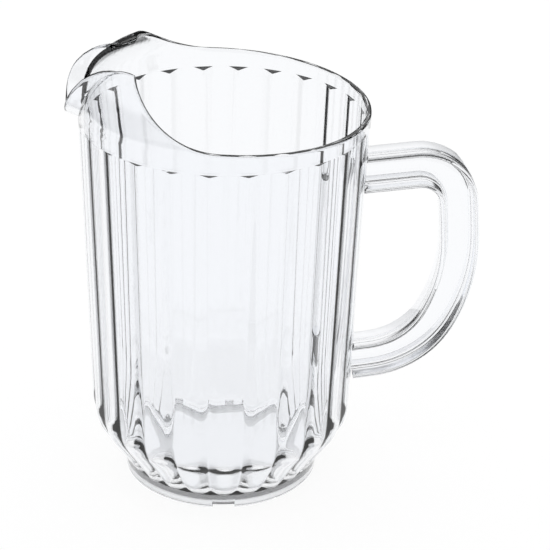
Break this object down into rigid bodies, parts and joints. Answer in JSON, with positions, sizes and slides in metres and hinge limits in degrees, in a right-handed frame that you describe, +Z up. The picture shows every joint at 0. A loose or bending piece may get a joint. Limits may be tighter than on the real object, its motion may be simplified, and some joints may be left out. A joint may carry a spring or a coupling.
{
  "type": "beer pitcher",
  "caption": "Clear moulded plastic beer pitcher with grooves down the outside of its wall, a hooded pouring lip, a foot ring and an I-section handle.",
  "frame": {"origin": "on the table, at the middle of the space that the pitcher takes up from lip to handle; the body's own axis stands at X -0.0231 m", "axes": "+Z up, +X from the spout towards the handle, the XZ plane is the plane of symmetry"},
  "size_m": [0.1862, 0.1294, 0.2036],
  "materials": {
    "clear_plastic": "clear, polished"
  },
  "bodies": {
    "root": {"rim_band": "clear_plastic", "grooved_wall": "clear_plastic", "spout_hood": "clear_plastic", "pour_lip": "clear_plastic", "base_floor": "clear_plastic", "foot_ring": "clear_plastic", "handle": "clear_plastic"}
  },
  "joints": []
}
